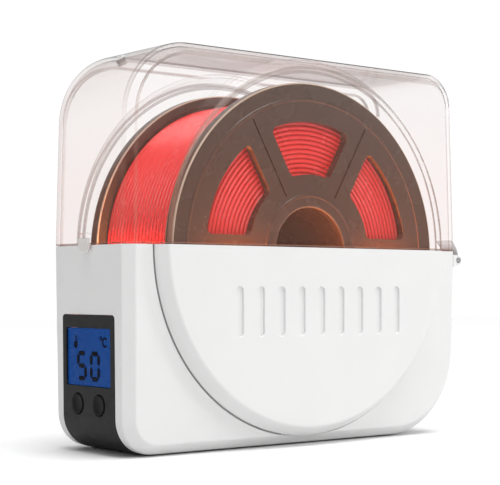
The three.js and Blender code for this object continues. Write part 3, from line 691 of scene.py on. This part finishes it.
# A plain row of shallow upright grooves decorates the front disc.
SLOTS, SLOT_PITCH, SLOT_X, SLOT_Z = 9, 15.2, 4.3, 78.6
SLOT_HALF, SLOT_TALL, SLOT_ROUND = 2.6, 14.3, 2.55
SLOT_SECTION = ((-0.25, -0.5), (-0.25, -0.02), (0.05, 0.3), (0.2, 1.2))
for k in range(SLOTS):
    x = SLOT_X + (k - SLOTS // 2) * SLOT_PITCH
    x0, x1, z0, z1 = x - SLOT_HALF, x + SLOT_HALF, SLOT_Z - SLOT_TALL, SLOT_Z + SLOT_TALL
    groove = [(x0, z0, SLOT_ROUND), (x1, z0, SLOT_ROUND), (x1, z1, SLOT_ROUND), (x0, z1, SLOT_ROUND)]
    face = -(DEPTH / 2 + DISC_RISE)
    rings = [[(u, v, face + depth) for u, v in rounded_loop(inset(groove, d), 10)]
             for d, depth in SLOT_SECTION]
    combine(base, rings_solid("slot", rings, xz), "DIFFERENCE")

# The lid, with the root of its latch.
lid = shell("cover_clear", True, LID_WALL)
root_low, root_high = SEAM + LATCH_TOP + 0.2, SEAM + LATCH_TOP + 3
root = [(-LATCH_HALF, root_low, 0), (LATCH_HALF, root_low, 0), (LATCH_HALF, root_high, 1.5),
        (-LATCH_HALF, root_high, 1.5)]
combine(lid, prism("latch_root", root, (LATCH_OUT + 1.2) / 2, 0.4,
                   lambda u, v, w: (-LENGTH / 2 - LATCH_OUT / 2 + 0.6 + w, u, v)), "UNION")


# ---- lid hooks ---------------------------------------------------------------------------------------------
def ribbon(name, path, thick, half, y):
    """A strip of even thickness along an XZ path, carried across Y."""
    one, other = [], []
    for i, p in enumerate(path):
        a, b = Vector(path[max(i - 1, 0)]), Vector(path[min(i + 1, len(path) - 1)])
        t = (b - a).normalized()
        n = Vector((-t.y, t.x)) * thick / 2
        one.append(Vector(p) + n)
        other.append(Vector(p) - n)
    loop = [(p.x, p.y) for p in one] + [(p.x, p.y) for p in reversed(other)]
    rings = [[(u, v, y - half) for u, v in loop], [(u, v, y + half) for u, v in loop]]
    return rings_solid(name, rings, xz)


def smooth_path(points, per):
    """A Catmull-Rom curve through points, with per steps between each pair."""
    pts = [Vector(p) for p in points]
    pts = [pts[0] * 2 - pts[1]] + pts + [pts[-1] * 2 - pts[-2]]
    out = []
    for i in range(1, len(pts) - 2):
        a, b, c, d = pts[i - 1:i + 3]
        for k in range(per):
            t = k / per
            out.append(0.5 * (2 * b + (c - a) * t + (2 * a - 5 * b + 4 * c - d) * t ** 2
                              + (3 * b - a - 3 * c + d) * t ** 3))
    out.append(pts[-2])
    return [(p.x, p.y) for p in out]


def hook_painted_shade(place, soft):
    """Painted shade: the hooks darken downwards towards their pins, from 121 mm to 116 mm above the table."""
    return 0.55 * max(0.0, min(1.0, (121 - place.z) / 5))


# Each hook leaves the lid's end wall, bows outwards and curls round its pin, by 238 degrees in 26 steps.
arm = smooth_path([(127.1, 122.6), (128.6, 121.6), (130.8, 119.0), (132.9, 115.2), (133.55, 111.6)], 6)
curl = []
for k in range(27):
    t = math.radians(4 - 238 * k / 26)
    curl.append((HINGE_X + HOOK_CURL * math.cos(t), HINGE_Z + HOOK_CURL * math.sin(t)))
for end, side in (("front", -1), ("rear", 1)):
    hook = ribbon(f"lid_hook_{end}", arm + curl, HOOK_THICK, HINGE_WIDTH / 2, side * HINGE_Y)
    soften_edges(hook, 0.3)
    # Painted shade on the hooks, darker low down.
    mark_faces(hook.data, "painted_shade_mark", hook_painted_shade)
    finish_piece(hook, "lid", CLEAR_HOOK, ["lid_shell"], 40)


# ---- filament outlet and the lid's marks -------------------------------------------------------------------
def outlet_place():
    """Frame of the filament outlet, on the rounded upper left corner of the lid."""
    a = math.radians(OUTLET_ANGLE)
    xc, zc = -(half_length(TOP) - TOP_LEFT), TOP - TOP_LEFT
    out = Vector((-math.sin(a), 0, math.cos(a)))
    across = Vector((math.cos(a), 0, math.sin(a)))
    third = across.cross(out)
    origin = Vector((xc, 0, zc)) + out * TOP_LEFT
    return lambda p, q, h: tuple(origin + across * p + third * q + out * h)


def lid_painted_shade(place, soft):
    """Painted shade on the lid, face by face: the shadow of the seam gap along its lower rim, and dark lines
    for the refraction at its top rim and its softened edges.
    """
    x, y, z = place
    if z < SEAM + LID_RIM:
        return 0.55
    if TOP - LID_RIM < z < TOP - 0.02 and abs(y) > half_depth(z) - EDGE - 1:
        return 1.0
    if not soft:
        return 0.0
    # Round the upper left corner the painted shade grows upwards.
    if x < -70 and z > TOP - TOP_LEFT and abs(y) < half_depth(z) - EDGE * 0.6:
        return 0.15 + 0.75 * (z - TOP + TOP_LEFT) / TOP_LEFT
    if z > TOP - 8:
        return 0.4
    # The painted shade on the upright edges fades downwards.
    if abs(x) > LENGTH / 2 - 12 and abs(y) < DEPTH / 2 + 0.5:
        return 0.12 + 0.5 * max(0.0, min(1.0, (z - 180) / 35))
    return 0.62


outlet = outlet_place()
combine(lid, turned("hole", [(0, -8), (2.7, -8), (2.7, 8), (0, 8)], 48, outlet), "DIFFERENCE")
# The lid is cut across at its two rim heights, so that the painted shade of each rim falls on faces of its
# own.
bm = bmesh.new()
bm.from_mesh(lid.data)
for z in (SEAM + LID_RIM, TOP - LID_RIM):
    everything = bm.verts[:] + bm.edges[:] + bm.faces[:]
    bmesh.ops.bisect_plane(bm, geom=everything, plane_co=(0, 0, z * MM), plane_no=(0, 0, 1))
bm.to_mesh(lid.data)
bm.free()
# Painted shade on the lid's rims and softened edges.
mark_faces(lid.data, "painted_shade_mark", lid_painted_shade)
finish_piece(lid, "lid", CLEAR, ["lid_shell"])

grommet = [(1.3, -3.2), (1.7, -3.6), (2.8, -3.6), (3.1, -3.3), (3.1, -2.7), (2.4, -2.7),
           (2.4, 0.3), (3.3, 0.3), (3.25, 0.6), (2.9, 0.9), (1.6, 0.9), (1.3, 0.6)]
finish_piece(turned("outlet_ring", grommet, 48, outlet, True), "lid", RING, ["outlet_grommet"])

# ---- control panel -----------------------------------------------------------------------------------------
PANEL_Z = 50
PANEL_ORIGIN = Vector((-half_length(PANEL_Z), 0, PANEL_Z))
PANEL_UP = Vector((-DRAFT, 0, 1)).normalized()
PANEL_IN = Vector((1, 0, DRAFT)).normalized()


def on_panel(u, v, w):
    """A point u across the panel, v up it from PANEL_Z, and w into it."""
    return tuple(PANEL_ORIGIN + Vector((0, -u, 0)) + PANEL_UP * v + PANEL_IN * w)


def panel_plate(name, u, v0, v1, w0, w1, corner, bevel=0.0):
    """A rounded plate in the panel's plane, |u| up to u and v from v0 to v1."""
    corners = [(-u, v0, corner), (u, v0, corner), (u, v1, corner), (-u, v1, corner)]
    middle, half = (w0 + w1) / 2, (w1 - w0) / 2
    return prism(name, corners, half, bevel, lambda a, b, w: on_panel(a, b, middle + w), 6, 3)


def panel_turned(name, profile, u, v, segments=64):
    """A shape turned about an axis into the panel at (u, v)."""
    return turned(name, profile, segments, lambda a, b, h: on_panel(u + a, v + b, h))


# The openings up the left end and in the underside, for the panel and the bottom cover.
panel_top, open_half, floor_top = PANEL_TOP - PANEL_Z, PANEL_HALF + GAP, BOTTOM + BASE_WALL
combine(base, panel_plate("end_cut", open_half, -60, panel_top + GAP, -12, 27, 2.6), "DIFFERENCE")
combine(base, block("low_cut", -110, 70 + GAP, -open_half, open_half, -5, floor_top + 1), "DIFFERENCE")
# Painted shade: the bottom of the groove round each disc's foot is darker.
mark_faces(base.data, "painted_light", groove_painted_shade)
finish_piece(base, "base", WHITE, ["base_shell"])

# The panel follows the end and the rounded lower corner, a little proud, and is hollow behind. Its solid and
# its hollow start larger than the last cuts leave them.
over, end_x = PANEL_TOP + 2, -half_length(BOTTOM)
under, inside = BOTTOM - PANEL_PROUD, BOTTOM + PANEL_THICK
outline = [(-88, over, 0), (-half_length(over) - PANEL_PROUD, over, 0),
           (end_x - PANEL_PROUD, under, BOTTOM_LEFT + PANEL_PROUD), (-88, under, 0)]
hollow = [(-60, 90, 0), (-half_length(90) + PANEL_THICK, 90, 0),
          (end_x + PANEL_THICK, inside, BOTTOM_LEFT - PANEL_THICK), (-60, inside, 0)]
panel = prism("control_fascia", outline, PANEL_HALF, 0.5, xz, 24, 3)
combine(panel, prism("hollow", hollow, 60, 0, xz, 24), "DIFFERENCE")
combine(panel, block("inner_part", -100, -60, -40, 40, -5, 100), "DIFFERENCE")
combine(panel, panel_plate("outline", PANEL_HALF, -60, panel_top, -12, 40, 2.3), "INTERSECT")
for side in (-1, 1):
    for v in (-16, 24):
        post = [(0, PANEL_THICK - 0.6), (1.5, PANEL_THICK - 0.6), (1.5, 8.9), (0, 8.9)]
        combine(panel, panel_turned("post", post, side * 24.4, v, 24), "UNION")
    well = [(0, -3), (BUTTON_R + GAP + 0.5, -3), (BUTTON_R + GAP + 0.5, -0.35), (BUTTON_R + GAP, 0.15),
            (BUTTON_R + GAP, 4), (0, 4)]
    combine(panel, panel_turned("well", well, side * BUTTON_Y, BUTTON_Z - PANEL_Z), "DIFFERENCE")
w_v = WINDOW_Z - PANEL_Z
v_low, v_high = w_v - WINDOW_HALF_Z, w_v + WINDOW_HALF_Z
window = panel_plate("window", WINDOW_HALF_Y + GAP, v_low - GAP, v_high + GAP, -3, 4, 1.2)
combine(panel, window, "DIFFERENCE")
finish_piece(panel, "base", BLACK, ["control_panel"])

pane = panel_plate("display_window", WINDOW_HALF_Y, v_low, v_high, -0.1, 0.5, 1.0, 0.12)
finish_piece(pane, "base", PANE, ["display_pane"])
screen = panel_plate("display_screen", WINDOW_HALF_Y, v_low, v_high, 0.75, 1.5, 1.0)
finish_piece(screen, "base", DISPLAY, ["display_pane"])


# ---- figures of the display --------------------------------------------------------------------------------
FIGURE_FROM_TO = (0.58, 0.82)
DIGIT_WIDE, DIGIT_TALL, DIGIT_THICK, DIGIT_GAP = 7.6, 14.0, 2.6, 0.35


def figure(loop):
    """A thin dark figure between the pane and the screen, from a loop of (u, v)."""
    return rings_solid("figure", [[(u, v, w) for u, v in loop] for w in FIGURE_FROM_TO], on_panel)


def bar(u0, v0, u1, v1):
    """Outline of one bar of a digit, with pointed ends."""
    a, b = Vector((u0, v0)), Vector((u1, v1))
    t = (b - a).normalized()
    tip = t * DIGIT_THICK / 2
    n = Vector((-t.y, t.x)) * DIGIT_THICK / 2
    points = [a, a + tip - n, b - tip - n, b, b - tip + n, a + tip + n]
    return [(p.x, p.y) for p in points]


def digit(u, v, lit):
    """The lit bars of a seven-segment digit with its lower left corner at (u, v)."""
    wide, tall, gap = DIGIT_WIDE, DIGIT_TALL, DIGIT_GAP
    mid = v + tall / 2
    bars = {
        "a": (u + gap, v + tall, u + wide - gap, v + tall),
        "b": (u + wide, v + tall - gap, u + wide, mid + gap),
        "c": (u + wide, mid - gap, u + wide, v + gap),
        "d": (u + wide - gap, v, u + gap, v),
        "e": (u, v + gap, u, mid - gap),
        "f": (u, mid + gap, u, v + tall - gap),
        "g": (u + gap, mid, u + wide - gap, mid),
    }
    return [figure(bar(*bars[k])) for k in lit]


def arc(cu, cv, r, thick, start, stop, steps=20):
    """A bent bar about (cu, cv), from one angle to another in degrees."""
    angles = [math.radians(start + (stop - start) * k / steps) for k in range(steps + 1)]
    far, near = r + thick / 2, r - thick / 2
    outer = [(cu + far * math.cos(t), cv + far * math.sin(t)) for t in angles]
    inner = [(cu + near * math.cos(t), cv + near * math.sin(t)) for t in reversed(angles)]
    return figure(outer + inner)


# A two-digit reading, the sign for degrees Celsius, and a thermometer with three scale lines.
figures = digit(-11.6, w_v - 12.0, "afgcd") + digit(1.9, w_v - 12.0, "abcdef")
figures.append(arc(12.0, w_v + 10.6, 0.9, 0.7, 0, 350))
figures.append(arc(16.0, w_v + 8.5, 2.3, 1.15, 45, 315))
figures.append(arc(-14.0, w_v + 6.6, 1.0, 2.0, 0, 350))
stem = [(-14.45, w_v + 7, 0.4), (-13.55, w_v + 7, 0.4), (-13.55, w_v + 12, 0.4), (-14.45, w_v + 12, 0.4)]
figures.append(figure(rounded_loop(stem, 4)))
for k in range(3):
    v = w_v + 8.4 + 1.3 * k
    figures.append(figure([(-12.9, v - 0.22), (-11.7, v - 0.22), (-11.7, v + 0.22), (-12.9, v + 0.22)]))
bm = bmesh.new()
for part in figures:
    bm.from_mesh(part.data)
    bpy.data.objects.remove(part)
marks_mesh = bpy.data.meshes.new("display_marks")
bm.to_mesh(marks_mesh)
bm.free()
marks = bpy.data.objects.new("display_marks", marks_mesh)
bpy.context.scene.collection.objects.link(marks)
finish_piece(marks, "base", INK, ["display_pane"], weighted=False)

# ---- buttons -----------------------------------------------------------------------------------------------
r = BUTTON_R
cap = [(0, -0.25), (r * 0.45, -0.32), (r * 0.75, -0.55), (r - 0.75, -0.72), (r - 0.3, -0.68),
       (r - 0.05, -0.45), (r, -0.1), (r, 2.9), (r + 1.1, 2.9), (r + 1.1, 3.8), (1.8, 3.8), (1.8, 5), (0, 5)]
for end, side in (("front", 1), ("rear", -1)):
    button = panel_turned(f"key_{end}", cap, side * BUTTON_Y, BUTTON_Z - PANEL_Z, 72)
    finish_piece(button, f"button_{end}", DARK_BUTTON, [f"button_{end}"], 40)

# ---- spool -------------------------------------------------------------------------------------------------
RAISED_LINES = (90.0, 33.6)
SPOKE_LINE_FROM, SPOKE_LINE_TO, SPOKE_LINE_HALF, SPOKE_LINE_DEEP = 37.5, 87.2, 0.6, 1.2
# The painted highlight on the spool's softened edges: the radius in millimetres beyond which it is full, and
# its strength there and nearer in.
RIM_FROM, RIM_HIGHLIGHT, OTHER_HIGHLIGHT = 95, 1.0, 0.12
ROWS, RINGS, RIDGE_STEPS = 22, 20, 8
ROW_DEEP, RING_DEEP = 1.25, 1.2


def window_corners(centre):
    """Outline of one window in a spool side, between two spokes."""
    middle = math.radians(centre)
    points = []
    for r, way, count in ((WINDOW_OUT, -1, 16), (WINDOW_IN, 1, 10)):
        reach = math.pi / 6 - math.asin(SPOKE / r)
        for i in range(count + 1):
            t = middle + way * reach * (1 - 2 * i / count)
            corner = WINDOW_CORNER if i in (0, count) else 0
            points.append((r * math.cos(t), SPOOL_Z + r * math.sin(t), corner))
    return points


def spool_painted_highlight(place, soft):
    """Painted highlight on softened edges, strongest round the rim."""
    rim = math.hypot(place.x, place.z - SPOOL_Z) > RIM_FROM
    return soft * (RIM_HIGHLIGHT if rim else OTHER_HIGHLIGHT)


def flange(name, side, stands_for):
    """A spool side with a rounded rim, two raised lines, six windows and a fine groove down each spoke."""
    w = SPOOL_HALF
    inner, rim = w - FLANGE_THICK, w - RIM_THICK
    profile = [(HUB_R, inner), (WOUND_R + 1, inner), (WOUND_R + 1.8, rim + 0.4), (WOUND_R + 2.2, rim),
               (SPOOL_R - 0.8, rim), (SPOOL_R - 0.2, rim + 0.3), (SPOOL_R, rim + 0.9), (SPOOL_R, w - 0.9),
               (SPOOL_R - 0.3, w - 0.25), (SPOOL_R - 0.9, w)]
    for r in RAISED_LINES:
        profile += [(r + 1.0, w), (r + 0.6, w + 0.3), (r - 0.6, w + 0.3), (r - 1.0, w)]
    profile += [(HUB_R + 0.9, w), (HUB_R + 0.25, w - 0.25), (HUB_R, w - 0.9)]
    part = turned(name, [(r, side * h) for r, h in profile], 240, along_y(0, SPOOL_Z), True)
    for k in range(6):
        combine(part, prism("window", window_corners(90 + 60 * k), 60, 0, xz, 8), "DIFFERENCE")
    for k in range(6):
        t = math.radians(60 * k)
        d = Vector((math.cos(t), math.sin(t)))
        n = Vector((-d.y, d.x)) * SPOKE_LINE_HALF
        a, b = d * SPOKE_LINE_FROM, d * SPOKE_LINE_TO
        groove = [(p.x, p.y + SPOOL_Z, 0) for p in (a - n, b - n, b + n, a + n)]
        line = prism("line", groove, SPOKE_LINE_DEEP, 0, lambda u, v, c: (u, side * w + c, v))
        combine(part, line, "DIFFERENCE")
    # Painted highlight: the softened edges turn cream, most of all round the rim.
    mark_faces(part.data, "painted_light", spool_painted_highlight)
    soften_edges(part, 0.35)
    finish_piece(part, "spool", SPOOL, [stands_for], 35)


flange("reel_side_front", -1, "spool_flange_front")
flange("reel_side_rear", 1, "spool_flange_rear")

core_half, core_r = SPOOL_HALF - FLANGE_THICK - GAP, CORE_R - GAP
tube = [(HUB_R, -core_half), (core_r, -core_half), (core_r, core_half), (HUB_R, core_half)]
core = turned("reel_core", tube, 160, along_y(0, SPOOL_Z), True)
finish_piece(core, "spool", SPOOL, ["spool_core"])


def ridge(i):
    """Depth of a rounded ridge at its step i: 0 on the crest and 1 in the valley."""
    return 1 - abs(math.sin(math.pi * i / RIDGE_STEPS)) ** 0.6


def winding_profile():
    """Rows of filament: rounded ridges along the outside and rings down both faces."""
    points = []
    face = core_half
    pitch = 2 * face / ROWS
    for k in range(RINGS):
        for i in range(RIDGE_STEPS):
            t = (k + i / RIDGE_STEPS) / RINGS
            points.append((CORE_R + (WOUND_R - CORE_R) * t, -face + RING_DEEP * ridge(i)))
    for k in range(ROWS):
        for i in range(RIDGE_STEPS):
            points.append((WOUND_R - ROW_DEEP * ridge(i), -face + pitch * (k + i / RIDGE_STEPS)))
    for k in range(RINGS):
        for i in range(RIDGE_STEPS):
            t = (k + i / RIDGE_STEPS) / RINGS
            points.append((WOUND_R - (WOUND_R - CORE_R) * t, face - RING_DEEP * ridge(i)))
    points.append((CORE_R, face - 0.5))
    return points


winding = turned("filament_rows", winding_profile(), 180, along_y(0, SPOOL_Z), True)
# Painted shade: the filament darkens down into the valleys between its rows and rings.
painted_light = winding.data.attributes.new("painted_light", "FLOAT", "POINT")
for v, value in zip(winding.data.vertices, painted_light.data):
    x, y, z = v.co / MM
    deep = min(WOUND_R - math.hypot(x, z - SPOOL_Z), core_half - abs(y)) / RING_DEEP
    value.value = max(0.0, min(1.0, deep)) ** 1.4
finish_piece(winding, "spool", FILAMENT, ["filament_winding"], 60, weighted=False)
for name in ("reel_side_front", "reel_side_rear", "reel_core", "filament_rows"):
    warmed.objects.link(bpy.data.objects[name])
filled.objects.link(winding)

# ---- CAD pieces that keep their shape ----------------------------------------------------------------------
KEPT = {
    BLACK: ("bottom_cover", "spool_tray", "dc_inlet"),
    MODULE: ("display_module",),
    BOARD: ("control_board",),
    CHIP: ("switch_front", "switch_rear", "processor"),
    CREAM: ("terminal_block",),
    STEEL: ("dc_inlet_pin", "roller_shaft_left", "roller_shaft_right", "temperature_sensor",
            "hinge_pin_front", "hinge_pin_rear", "cover_screw_1", "cover_screw_2", "cover_screw_3",
            "cover_screw_4"),
    PLATE: ("heater_plate", "side_plate_left", "side_plate_right"),
    FILM: ("heater_film",),
    LEAD: ("sensor_lead", "inlet_lead", "heater_lead"),
    CLEAR_SMALL: ("latch_tongue",),
    ROLLER: ("roller_left_front", "roller_left_rear", "roller_right_front", "roller_right_rear"),
    RUBBER: ("foot_1", "foot_2", "foot_3", "foot_4"),
}
# How much some of their edges are rounded, in millimetres.
ROUNDED = {
    "bottom_cover": 0.3, "spool_tray": 0.25, "dc_inlet": 0.15, "latch_tongue": 0.2, "roller_left_front": 0.4,
    "roller_left_rear": 0.4, "roller_right_front": 0.4, "roller_right_rear": 0.4, "control_board": 0.1,
    "processor": 0.15, "terminal_block": 0.3, "hinge_pin_front": 0.25, "hinge_pin_rear": 0.25,
}
for material, names in KEPT.items():
    for name in names:
        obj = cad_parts[name]
        slots = obj.data.materials
        if not slots:
            slots.append(material)
        for i in range(len(slots)):
            slots[i] = material
        if name in ROUNDED:
            soften_edges(obj, ROUNDED[name])

# ---- floor -------------------------------------------------------------------------------------------------
# The paper is nearly white where the camera sees it, and reflects a little less light than that.
PAPER_SEEN, PAPER_LIGHT = (0.965, 0.965, 0.965), (0.73, 0.73, 0.73)
FLOOR_HALF = 3
floor_mesh = bpy.data.meshes.new("floor")
floor_corners = [(FLOOR_HALF * x, FLOOR_HALF * y, 0) for x, y in ((-1, -1), (1, -1), (1, 1), (-1, 1))]
floor_mesh.from_pydata(floor_corners, [], [(0, 1, 2, 3)])
floor = bpy.data.objects.new("floor", floor_mesh)
bpy.context.scene.collection.objects.link(floor)
PAPER = plastic("floor_paper", PAPER_SEEN, rough=(0.5, 0.6), depth=0.0, shade=0.003)
paper = PAPER.node_tree
camera_sees = node(paper, "ShaderNodeLightPath").outputs["Is Camera Ray"]
paper_shader = next(n for n in paper.nodes if n.type == "BSDF_PRINCIPLED")
paper.links.new(mixed(paper, camera_sees, PAPER_LIGHT, PAPER_SEEN), paper_shader.inputs["Base Color"])
floor_mesh.materials.append(PAPER)
